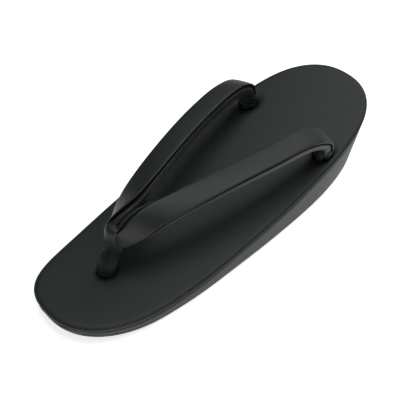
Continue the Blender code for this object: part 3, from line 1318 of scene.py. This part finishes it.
    def rubber_sheet(self) -> bpy.types.Object:
        """Builds the thin rubber sheet, with a flat rim round its recessed tread.

        Returns:
            The piece.
        """
        form = Form("rubber_sheet")
        shape = self.shape
        rise = self.tread_depth
        thick = shape.outsole_thickness
        side = self.rubber_set_in
        rounding = self.rubber_round
        layers = (
            (side + self.rubber_rim + self.tread_slope, rise),
            (side + self.rubber_rim, 0.0),
            (side + rounding, 0.0),
            (side + 0.25 * rounding, 0.25 * rounding),
            (side, rounding),
            (side, thick - 0.75 * rounding),
            (side + 0.75 * rounding, thick),
        )
        rings = [self._ring(form, inset, lambda y, up=up: shape.floor(y) + up) for inset, up in layers]
        form.skin(rings)
        form.fill_across(rings[0], self.flat_columns, lambda x, y, side: shape.floor(y) + rise)
        form.fill_across(rings[-1], self.flat_columns, lambda x, y, side: shape.floor(y) + thick)
        return dress(form.finish(self.rubber, sharp=30.0), Slot.RUBBER, "outsole")

    def tread_ribs(self) -> bpy.types.Object:
        """Builds the fine ribs across the tread with Geometry Nodes, one along each guide line.

        Returns:
            The piece.
        """
        inset = self.rubber_set_in + self.rubber_rim + self.rib_gap
        count = int(self.shape.length / self.rib_pitch)
        lines = [self._rib_line(self.shape.along(i / count), inset) for i in range(1, count)]
        sizes = {"Width": self.rib_width, "Height": self.tread_depth * 1.5}
        tree = RodAlongLines("rib_tree", self.rubber)
        return dress(tree.lay("tread_ribs", [line for line in lines if line], sizes), Slot.RUBBER)

    def _rib_line(self, y: float, inset: float) -> list[Vector]:
        """Finds a rib's course across the tread.

        Args:
            y: Place along the sole.
            inset: How far its ends stay inside the outline.

        Returns:
            Its points, or none where the sole is too short for a rib.
        """
        share = self.shape.share(y)
        turn = atan2(sqrt(max(1 - (1 - 2 * share) ** 2, 0.0)), 1 - 2 * share)
        outer = self.shape.edge_point(turn).x - inset
        inner = self.shape.edge_point(-turn).x + inset
        near_tip = min(share, 1 - share) * self.shape.length
        if near_tip < self.ribless_tip:
            return []
        squeeze = self.rib_squeeze * bell(near_tip - self.ribless_tip, self.squeeze_reach)
        z = self.shape.floor(y) + self.tread_depth * 0.75
        wide = outer - inner - 2 * squeeze
        parts = self.rib_parts
        return [Vector((inner + squeeze + wide * i / parts, y, z)) for i in range(parts + 1)]


# Strap


@dataclass
class Strap:
    """The upper: a padded cover above the seam and a lining below it, with fine stitches between."""

    path: StrapPath
    cover_leather: bpy.types.Material
    lining_leather: bpy.types.Material
    thread: bpy.types.Material
    # Fineness of the meshes: rings for each row of the arm's table, and points for each half section
    per_row: int = 9
    cover_steps: int = 33
    lining_steps: int = 27
    # Stitches, and the seam that they follow, from near the nose to near the end in rows
    stitch_pitch: float = 0.0021
    stitch_length: float = 0.0015
    thread_width: float = 0.00024
    seam_aside: float = 0.76
    seam_raised: float = 0.05
    seam_points_per_row: int = 4
    seam_from_nose: float = 1.2
    seam_from_end: float = 0.3
    # Slack of the leather, and where its sides are lighter, partly worn and partly painted highlight
    cover_slack: float = 0.00016
    slack_per_metre: float = 55.0
    wear_sheen_aside: float = 0.96
    wear_sheen_reach: float = 0.06
    cover_wear_sheen: float = 0.5
    side_wear_sheen: float = 0.3
    rounded_from: float = 0.7
    # Painted shade in the groove between cover and lining: where it lies, as places across and above the seam
    groove_edge: float = 0.6
    groove_top: float = 0.66
    groove_bottom: float = -0.02
    lining_lip: float = 0.93
    # How much thinner the cover is at the nose, and how much wider the lining is beside it, in rows
    nose_pinch: float = 0.36
    pinch_rows: float = 1.15
    nose_spread: float = 0.30
    spread_row: float = 3.0
    spread_rows: float = 1.7

    COVER: Rows = (
        # step, across, raised
        (0, 0.640, -0.02),
        (1, 0.680, 0.18),
        (2, 0.770, 0.38),
        (3, 0.885, 0.54),
        (4, 0.965, 0.63),
        (5, 1.000, 0.73),
        (6, 0.988, 0.83),
        (7, 0.935, 0.90),
        (8, 0.830, 0.94),
        (9, 0.660, 0.97),
        (10, 0.380, 0.992),
        (11, 0.000, 1.00),
    )
    LINING: Rows = (
        # step, across, raised
        (0, 0.640, 0.02),
        (1, 0.780, 0.04),
        (2, 0.900, 0.03),
        (3, 0.985, -0.05),
        (4, 1.020, -0.21),
        (5, 1.008, -0.42),
        (6, 0.975, -0.62),
        (7, 0.890, -0.82),
        (8, 0.600, -0.965),
        (9, 0.000, -1.00),
    )

    def build(self) -> list[bpy.types.Object]:
        """Builds the strap.

        Returns:
            Cover, lining and stitches.
        """
        cover = self._swept("strap_cover", self.COVER, self.cover_steps, 0.0, self.cover_leather)
        dress(cover, Slot.STRAP, "straps")
        lining = self._swept(
            "strap_lining", self.LINING, self.lining_steps, self.nose_spread, self.lining_leather
        )
        dress(lining, Slot.STRAP, "straps")
        return [cover, lining, self.stitches()]

    def _section(self, rows: Rows, steps: int) -> list[tuple[float, float]]:
        """Reads a section from one seam over its crown to the other seam.

        Args:
            rows: Half of the section.
            steps: How many points each half gets.

        Returns:
            Places across and raised.
        """
        half = []
        for i in range(steps + 1):
            step = rows[-1][0] * i / steps
            half.append((smooth(rows, 1, step), smooth(rows, 2, step)))
        return half + [(-across, raised) for across, raised in reversed(half[:-1])]

    def _swept(
        self, name: str, rows: Rows, steps: int, spread: float, material: bpy.types.Material
    ) -> bpy.types.Object:
        """Sweeps a section along the strap.

        Args:
            name: Name of the piece.
            rows: Half of its section.
            steps: How many points each half gets.
            spread: How much wider it gets, as a share, where it turns under beside the nose.
            material: Its material.

        Returns:
            The piece.
        """
        form = Form(name, ("rubbed", "groove"))
        section = self._section(rows, steps)
        rings = []
        for at in self.path.stops(self.per_row):
            places = []
            rubbed = []
            groove = []
            band = self.path.band(at)
            pinched = 1 - self.nose_pinch * bell(at, self.pinch_rows)
            wider = 1 + spread * bell(abs(at) - self.spread_row, self.spread_rows)
            for across, raised in section:
                point = self.path.point(at, across * wider, raised * pinched if raised > 0 else raised)
                slack = self.cover_slack * noise.noise(point * self.slack_per_metre + 3.0 * ALONG_X)
                places.append(point + band.face * slack * (1 if raised > 0 else -1))
                # Strap sides get the light tone: partly wear, partly a painted highlight on the rounded
                # edges.
                rub = self.cover_wear_sheen if raised > self.rounded_from else self.side_wear_sheen
                rubbed.append(bell(abs(across) - self.wear_sheen_aside, self.wear_sheen_reach) * rub)
                # Marks the groove's surface for painted shade.
                groove.append(1.0 if self._in_groove(abs(across), raised) else 0.0)
            rings.append(form.points(places, rubbed=rubbed, groove=groove))
        form.sweep(rings)
        return form.finish(material, sharp=60.0)

    def _in_groove(self, aside: float, raised: float) -> bool:
        """Tells whether a point of a section lies in the groove between cover and lining, where its colour is
        darkened as painted shade.

        Args:
            aside: Place across the strap, 0 in its middle and 1 at its side.
            raised: Place above the seam, as a share of the cover.

        Returns:
            True from the seam up under the cover's side, and out to the lining's lip.
        """
        between = aside > self.groove_edge and self.groove_bottom <= raised < self.groove_top
        return between and (raised > self.seam_raised or aside < self.lining_lip)

    def stitches(self) -> bpy.types.Object:
        """Sews fine stitches down in both seams with Geometry Nodes.

        Returns:
            The piece.
        """
        last = self.path.last - self.seam_from_end
        stops = self.path.stops(self.seam_points_per_row)
        stops = [at for at in stops if self.seam_from_nose < abs(at) < last]
        lines = [
            [self.path.point(at, aside, self.seam_raised) for at in stops if at * arm > 0]
            for aside in (self.seam_aside, -self.seam_aside)
            for arm in (1, -1)
        ]
        sizes = {"Pitch": self.stitch_pitch, "Stitch": self.stitch_length, "Thread": self.thread_width}
        tree = StitchesAlongLines("stitch_tree", self.thread)
        return dress(tree.lay("strap_stitches", lines, sizes), Slot.STRAP)


# Toe thong


@dataclass
class ToeThong:
    """Leather loop over the strap's nose, and the velvet stem that goes down between the toes."""

    path: StrapPath
    leather: bpy.types.Material
    velvet: bpy.types.Material
    # Loop: its strip, its tail below the strap, its bend, and its inner side against the strap
    loop_width: float = 0.0078
    loop_thickness: float = 0.0019
    loop_room: float = 0.0001
    tail: float = 0.0046
    tail_hollow: float = 0.12
    pinch: float = 0.30
    squareness: float = 0.74
    bend: float = 0.0060
    inner_raised: float = -0.25
    inner_aside: float = 0.9
    inner_step: float = 0.3
    # Loop: where its edges are lighter, partly worn and partly painted highlight, and its unevenness
    loop_wear_sheen: float = 0.4
    loop_wear_sheen_aside: float = 0.95
    loop_wear_sheen_reach: float = 0.08
    loop_unevenness: float = 0.00012
    bumps_per_metre: float = 160.0
    # Fineness of the meshes
    sides: int = 72
    stem_steps: int = 46
    # Stem: its curve, its fine folds, and its painted highlights: lighter fold crowns and a lighter band high
    # up where the light catches the pile
    stem_curve: float = 1.6
    stem_folds: int = 7
    stem_fold: float = 0.00009
    stem_twist: float = 0.9
    stem_drift: float = 0.5
    stem_overlap: float = 0.6
    fold_crown_highlight: float = 0.3
    stem_highlight: float = 1.6
    stem_highlight_at: float = 0.63
    stem_highlight_reach: float = 0.12

    LOOP: Rows = (
        # step, aside, raised
        (0, -0.96, 0.02),
        (1, -1.00, 0.30),
        (2, -0.97, 0.62),
        (3, -0.86, 0.88),
        (4, -0.55, 0.98),
        (5, 0.00, 1.00),
        (6, 0.55, 0.98),
        (7, 0.86, 0.88),
        (8, 0.97, 0.62),
        (9, 1.00, 0.30),
        (10, 0.96, 0.02),
    )
    STEM: Rows = (
        # up, wide, thick
        (0.00, 0.90, 0.90),
        (0.24, 0.90, 0.90),
        (0.32, 0.94, 0.92),
        (0.42, 1.04, 1.00),
        (0.60, 1.06, 0.98),
        (0.71, 1.00, 0.92),
        (0.77, 0.88, 0.80),
        (0.82, 0.70, 0.64),
        (0.90, 0.60, 0.50),
        (1.00, 0.46, 0.38),
    )

    def build(self) -> list[bpy.types.Object]:
        """Builds the thong.

        Returns:
            Loop and stem.
        """
        return [self.loop(), self.stem()]

    def loop(self) -> bpy.types.Object:
        """Builds the leather strip that wraps the strap's nose.

        Returns:
            The piece.
        """
        form = Form("thong_loop", ("rubbed",))
        path = self.path
        band = path.band(0)
        middle = band.centre + band.face * (path.cover - path.lining) * band.thick / 2
        side = band.across.cross(band.face).normalized()
        steps = [i / 2 for i in range(2 * len(self.LOOP) - 1)]
        section = [(smooth(self.LOOP, 1, step), smooth(self.LOOP, 2, step)) for step in steps]
        inner = range(round(2 * self.inner_aside / self.inner_step) + 1)
        section += [(self.inner_aside - self.inner_step * i, self.inner_raised) for i in inner]
        rings = []
        for aside, raised in section:
            reach = aside * self.loop_width / 2
            here = middle + side * reach - band.face * reach**2 / (2 * self.bend)
            grown = self.loop_room + self.loop_thickness * raised
            tail = self.tail if raised > 0 else self.tail * self.tail_hollow
            half_height = path.width * band.wide / 2 + grown
            half_depth = (path.cover + path.lining) * band.thick / 2 + grown
            ring = []
            for i in range(self.sides):
                turn = 2 * pi * i / self.sides
                high, deep = (copysign(abs(part) ** self.squareness, part) for part in (cos(turn), sin(turn)))
                low = max(0.0, high)
                reached = band.across * (half_height * high + tail * low**2)
                at = here + reached + band.face * half_depth * deep * (1 - self.pinch * low**2)
                ring.append(at + band.face * self.loop_unevenness * noise.noise(at * self.bumps_per_metre))
            # The loop's edges get the light tone: partly wear, partly a painted highlight.
            rub = self.loop_wear_sheen * bell(abs(aside) - self.loop_wear_sheen_aside, self.loop_wear_sheen_reach)
            rings.append(form.points(ring, rubbed=[rub] * self.sides))
        form.sweep(rings, closed=True)
        loop = form.finish(self.leather, sharp=60.0)
        return dress(loop, Slot.STRAP, "toe_thong")

    def stem(self) -> bpy.types.Object:
        """Builds the velvet stem from the bottom of the front hole up to the loop.

        Returns:
            The piece.
        """
        form = Form("thong_stem", ("fold",))
        path = self.path
        hole = path.sole.front_hole()
        top = path.sole.top(hole.y)
        foot = Vector((hole.x, hole.y, path.sole.wedge_bottom(hole.y) + path.sole.front_hole_floor))
        band = path.band(0)
        reach = path.width * band.wide / 2 + self.loop_thickness * self.stem_overlap
        head = band.centre + band.across * reach
        sunk = (top - foot.z) / (head.z - foot.z)
        rings = []
        for i in range(self.stem_steps + 1):
            up = i / self.stem_steps
            bend = max(0.0, (up - sunk) / (1 - sunk))
            middle = foot.lerp(head, up)
            middle.x = hole.x + (head.x - hole.x) * bend
            middle.y = hole.y + (head.y - hole.y) * bend**self.stem_curve
            wide = smooth(self.STEM, 1, up) * hole.width
            thick = smooth(self.STEM, 2, up) * hole.width
            ring = []
            marks = []
            for j in range(self.sides):
                turn = 2 * pi * j / self.sides
                drift = self.stem_drift * uneven(turn, up * 5, layer=0.4)
                wave = cos(self.stem_folds * (turn + self.stem_twist * up)) + drift
                fold = self.stem_fold * wave
                aside = ALONG_X * (wide / 2 + fold) * cos(turn)
                forward = ALONG_Y * (thick / 2 + fold) * sin(turn)
                ring.append(middle + aside + forward)
                # Painted highlight: a lighter band high on the stem, added to the lighter fold crowns.
                light = self.stem_highlight * bell(up - self.stem_highlight_at, self.stem_highlight_reach)
                marks.append(max(0.0, wave) * self.fold_crown_highlight + light)
            rings.append(form.points(ring, fold=marks))
        form.sweep(rings)
        stem = form.finish(self.velvet, sharp=70.0)
        dress(stem, Slot.VELVET, "toe_thong")
        return stem


# Strap roots


@dataclass
class StrapRoot:
    """Gathered end of the strap, twisted like a rope on its way down into a rear hole."""

    path: StrapPath
    velvet: bpy.types.Material
    side: Foot
    # Course: how high its bend stands over the hole, and how far it bows out of the strap's end
    stand: float = 0.0024
    bow: float = 0.50
    # Folds: how many, how deep, how they twist on the way down and how round their lobes are
    folds: int = 5
    fold: float = 0.0014
    twist: float = 1.5
    drift: float = 0.5
    lobe_roundness: float = 0.6
    ripple: float = 0.00018
    # Ends: how far it starts inside the strap and below its middle, and how near the hole's bottom it ends
    tucked_in: float = 0.0030
    tucked_under: float = 0.0008
    above_bottom: float = 0.0004
    # Fineness of the mesh
    sides: int = 96
    steps: int = 40

    ROOT: Rows = (
        # down, wide, thick
        (0.00, 0.80, 0.72),
        (0.20, 0.86, 0.80),
        (0.45, 0.93, 0.92),
        (0.72, 0.95, 0.98),
        (0.92, 0.90, 0.92),
        (1.00, 0.84, 0.86),
    )

    def build(self) -> bpy.types.Object:
        """Builds the root.

        Returns:
            The piece.
        """
        name = f"strap_root_{self.side.name.lower()}"
        form = Form(f"{name}_velvet", ("fold",))
        path = self.path
        side = self.side.value
        hole = path.sole.rear_hole(self.side)
        band = path.band(side * path.last)
        out_of_band = (band.centre - path.place(side * (path.last - 0.1))).normalized()
        start = band.centre - out_of_band * self.tucked_in - band.face * self.tucked_under
        mouth = Vector((hole.x, hole.y, path.sole.top(hole.y) + self.stand))
        rings = []
        for i in range(self.steps + 1):
            down = i / self.steps
            bow = out_of_band * self.bow * (start - mouth).length * down * (1 - down)
            middle = start.lerp(mouth, down) + bow
            normal = out_of_band.lerp(-UP, down).normalized()
            over = normal.cross(band.across.lerp(-ALONG_Y, down)).normalized()
            wide = smooth(self.ROOT, 1, down) * hole.length
            thick = smooth(self.ROOT, 2, down) * hole.width
            rings.append(self._ring(form, middle, over.cross(normal), over, wide, thick, down))
        for sunk in (0.3, 1.0):
            drop = -UP * (self.stand + path.sole.hole_depth - self.above_bottom) * sunk
            places = [vert.co + drop for vert in rings[self.steps]]
            rings.append(form.points(places, fold=[0.0] * self.sides))
        form.sweep(rings)
        root = form.finish(self.velvet, sharp=80.0)
        dress(root, Slot.VELVET, name)
        return root

    def _ring(
        self, form: Form, middle: Vector, across: Vector, over: Vector, wide: float, thick: float, down: float
    ) -> list[bmesh.types.BMVert]:
        """Adds one ring of the root, with its folds and a painted highlight on their crowns.

        Args:
            form: The form that it goes into.
            middle: The ring's middle.
            across: Direction of its width.
            over: Direction of its thickness.
            wide: Its width.
            thick: Its thickness.
            down: Share of the way to the hole.

        Returns:
            The ring's points.
        """
        places = []
        marks = []
        depth = self.fold * min(1.0, 3.0 * down + 0.25)
        for j in range(self.sides):
            turn = 2 * pi * j / self.sides
            phase = self.folds * (turn + self.twist * down) / 2
            phase += self.drift * uneven(turn, down * 2.5, layer=6.0 + self.side.value)
            lobe = abs(cos(phase)) ** self.lobe_roundness
            ripple = self.ripple * uneven(turn * 2.4, down * 9.0, layer=1.0)
            swell = (lobe - 1.0) * depth + ripple
            aside = across * (wide / 2 + swell) * cos(turn)
            above = over * (thick / 2 + swell) * sin(turn)
            places.append(middle + aside + above)
            # Painted highlight: the fold crowns get the velvet's light tone.
            marks.append(lobe**2)
        return form.points(places, fold=marks)


# Studio


@dataclass
class Studio:
    """Pale floor, soft light and the camera at the photograph's angle."""

    paper: bpy.types.Material
    screen: bpy.types.Material
    floor_size: float = 6.0
    floor_drop: float = 0.0001
    backdrop_height: float = 5.0
    backdrop_sides: int = 96
    camera_place: Vector = field(default_factory=lambda: Vector((0.12357, -0.16118, 0.25215)))
    azimuth: float = 40.55
    elevation: float = 50.63
    roll: float = 6.0
    focal_pixels: float = 520.0
    picture_width: float = 400.0
    sensor_width: float = 36.0
    world_light: float = 0.15

    def build(self) -> None:
        """Builds the studio."""
        self._floor()
        self._backdrop()
        self._world()
        self._camera()
        self._softbox("top_softbox", (0.00, 0.16, 1.40), size=0.6, watts=8.6, tint=(0.96, 1.0, 1.0))
        self._softbox("heel_softbox", (-0.20, 1.10, 1.05), size=0.8, watts=5.0, tint=(0.98, 1.0, 1.0))
        self._softbox("side_softbox", (1.35, -0.50, 0.26), size=0.8, watts=4.6, tint=(1.0, 0.95, 0.90))

    def _floor(self) -> None:
        """Lays the floor just under the sandal."""
        half = self.floor_size / 2
        form = Form("studio_floor")
        sides = ((-half, -half), (half, -half), (half, half), (-half, half))
        form.bm.faces.new(form.points([Vector((x, y, -self.floor_drop)) for x, y in sides]))
        floor = form.finish(self.paper)
        if floor.data.polygons[0].normal.z < 0:
            floor.data.flip_normals()

    def _backdrop(self) -> None:
        """Stands a white screen round the floor, which is only there to be seen and adds no light."""
        form = Form("studio_backdrop")
        turns = [2 * pi * i / self.backdrop_sides for i in range(self.backdrop_sides)]
        radius = self.floor_size / 2
        rings = []
        for height in (0.0, self.backdrop_height):
            places = [Vector((radius * cos(turn), radius * sin(turn), height)) for turn in turns]
            rings.append(form.points(places))
        form.bridge(*rings)
        backdrop = form.finish(self.screen)
        for ray in ("diffuse", "glossy", "transmission", "volume_scatter", "shadow"):
            setattr(backdrop, f"visible_{ray}", False)

    def _world(self) -> None:
        """Sets the even light of the room and a plain picture transform."""
        world = bpy.data.worlds.new("studio_room")
        world.use_nodes = True
        background = world.node_tree.nodes["Background"]
        background.inputs["Color"].default_value = (1.0, 1.0, 1.0, 1.0)
        background.inputs["Strength"].default_value = self.world_light
        bpy.context.scene.world = world
        bpy.context.scene.view_settings.view_transform = "Standard"

    def _camera(self) -> None:
        """Places the camera."""
        data = bpy.data.cameras.new("camera")
        data.sensor_width = self.sensor_width
        data.lens = self.focal_pixels / self.picture_width * self.sensor_width
        data.clip_start = 0.01
        camera = bpy.data.objects.new("camera", data)
        bpy.context.scene.collection.objects.link(camera)
        turn, rise = radians(self.azimuth), radians(self.elevation)
        back = Vector((sin(turn) * cos(rise), -cos(turn) * cos(rise), sin(rise)))
        right = UP.cross(back).normalized()
        upward = back.cross(right)
        axes = Matrix((right, upward, back)).transposed()
        roll = Quaternion((0.0, 0.0, 1.0), radians(self.roll))
        camera.rotation_mode = "QUATERNION"
        camera.rotation_quaternion = axes.to_quaternion() @ roll
        camera.location = self.camera_place
        bpy.context.scene.camera = camera

    def _softbox(self, name: str, place: Row, size: float, watts: float, tint: Colour) -> None:
        """Hangs a square soft light that looks at the sandal.

        Args:
            name: Name of the light.
            place: Where it hangs.
            size: Length of its side.
            watts: Its power.
            tint: Its colour.
        """
        data = bpy.data.lights.new(name, "AREA")
        data.shape = "SQUARE"
        data.size = size
        data.energy = watts
        data.color = tint
        light = bpy.data.objects.new(name, data)
        light.location = place
        light.rotation_mode = "QUATERNION"
        light.rotation_quaternion = Vector(place).to_track_quat("Z", "Y")
        bpy.context.scene.collection.objects.link(light)


# The sandal's finishes

BOARD_LEATHER = SmoothLeather(
    name="black_smooth_leather",
    tone=(0.0040, 0.0070, 0.0070),
    light_tone=(0.0070, 0.0108, 0.0106),
    roughness=0.60,
    grain=Grain(per_metre=900.0, depth=0.00004),
)
STRAP_LEATHER = SmoothLeather(
    name="black_strap_leather",
    tone=(0.0044, 0.0070, 0.0074),
    light_tone=(0.0084, 0.0114, 0.0118),
    roughness=0.54,
    grain=Grain(per_metre=1100.0, depth=0.00003),
)
LINING_LEATHER = SmoothLeather(
    name="black_lining_leather",
    tone=(0.0040, 0.0064, 0.0064),
    light_tone=(0.0080, 0.0108, 0.0108),
    roughness=0.56,
    grain=Grain(per_metre=1100.0, depth=0.00004),
)
SEAM_THREAD = SmoothLeather(
    name="black_thread",
    tone=(0.0010, 0.0014, 0.0016),
    light_tone=(0.0030, 0.0036, 0.0040),
    roughness=0.7,
    grain=Grain(per_metre=3000.0, depth=0.00003),
)
ROOT_VELVET = Velvet(
    name="black_velvet",
    tone=(0.0020, 0.0036, 0.0044),
    light_tone=(0.0150, 0.0205, 0.0230),
    roughness=0.80,
    grain=Grain(per_metre=2600.0, depth=0.00012),
)
SHEET_RUBBER = SoleRubber(
    name="black_rubber",
    tone=(0.0070, 0.0070, 0.0068),
    light_tone=(0.0160, 0.0158, 0.0150),
    roughness=0.62,
    grain=Grain(per_metre=1500.0, depth=0.00006),
)


def main() -> None:
    """Builds the sandal and its studio."""
    logging.basicConfig(level=logging.INFO, format="%(name)s: %(message)s")
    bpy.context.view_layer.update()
    leather = BOARD_LEATHER.material()
    cover = STRAP_LEATHER.material()
    lining = LINING_LEATHER.material()
    velvet = ROOT_VELVET.material()
    rubber = SHEET_RUBBER.material()
    thread = SEAM_THREAD.material()
    shape = SoleShape()
    path = StrapPath(shape)
    Sole(shape, leather, rubber).build()
    Strap(path, cover, lining, thread).build()
    ToeThong(path, cover, velvet).build()
    for side in Foot:
        StrapRoot(path, velvet, side).build()
    Studio(StudioPaper("studio_floor").material(), StudioPaper("studio_screen", glow=1.0).material()).build()


if __name__ == "__main__":
    main()
